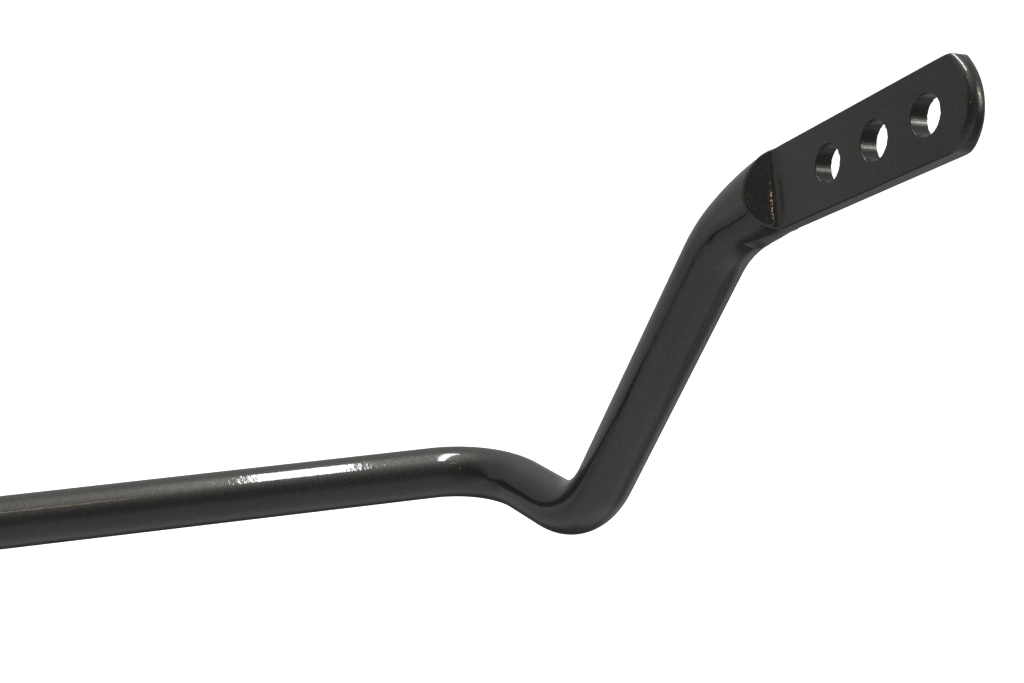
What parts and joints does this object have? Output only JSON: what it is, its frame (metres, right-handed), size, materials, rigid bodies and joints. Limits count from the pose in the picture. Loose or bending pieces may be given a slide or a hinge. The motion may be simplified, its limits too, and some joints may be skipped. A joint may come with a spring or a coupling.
{
  "type": "sway bar",
  "caption": "Bent round steel torsion bar with flat drilled paddles at both ends, carried in two bushed chassis brackets, that links a car's left and right suspension.",
  "frame": {"origin": "midway between the two chassis brackets, in the plane of their feet's undersides", "axes": "+X along the bar's centre section towards the car's right arm, -Y the way both arms reach, +Z from the brackets' feet up through the bar"},
  "size_m": [1.1202, 0.2817, 0.2305],
  "materials": {
    "bar_coating": "gloss metallic gunmetal powder coat",
    "bush_polyurethane": "moulded black polyurethane with a thin film of grease",
    "bracket_zinc": "pressed steel, zinc plated",
    "nipple_zinc": "yellow zinc plated",
    "washer_zinc": "zinc plated",
    "bolt_zinc": "zinc plated",
    "collar_aluminium": "machined and bead blasted",
    "screw_black": "black oxide steel"
  },
  "bodies": {
    "chassis_mounts": {"left_bush": "bush_polyurethane", "left_bracket": "bracket_zinc", "left_grease_nipple": "nipple_zinc", "left_bracket_front_washer": "washer_zinc", "left_bracket_front_bolt": "bolt_zinc", "left_bracket_rear_washer": "washer_zinc", "left_bracket_rear_bolt": "bolt_zinc", "right_bush": "bush_polyurethane", "right_bracket": "bracket_zinc", "right_grease_nipple": "nipple_zinc", "right_bracket_front_washer": "washer_zinc", "right_bracket_front_bolt": "bolt_zinc", "right_bracket_rear_washer": "washer_zinc", "right_bracket_rear_bolt": "bolt_zinc"},
    "bar_left": {"sway_bar_left_half": "bar_coating", "left_collar_upper": "collar_aluminium", "left_collar_lower": "collar_aluminium", "left_collar_front_screw": "screw_black", "left_collar_rear_screw": "screw_black"},
    "bar_right": {"sway_bar_right_half": "bar_coating", "right_collar_upper": "collar_aluminium", "right_collar_lower": "collar_aluminium", "right_collar_front_screw": "screw_black", "right_collar_rear_screw": "screw_black"}
  },
  "joints": [
    {"name": "bar_turn", "type": "hinge", "parent": "chassis_mounts", "child": "bar_left", "pos_m": [0, 0, 0.022], "axis": [1, 0, 0], "range_deg": [-25, 25]},
    {"name": "bar_twist", "type": "hinge", "parent": "bar_left", "child": "bar_right", "pos_m": [0, 0, 0.022], "axis": [1, 0, 0], "range_deg": [-20, 20], "stiffness_Nm_per_rad": 1940}
  ]
}
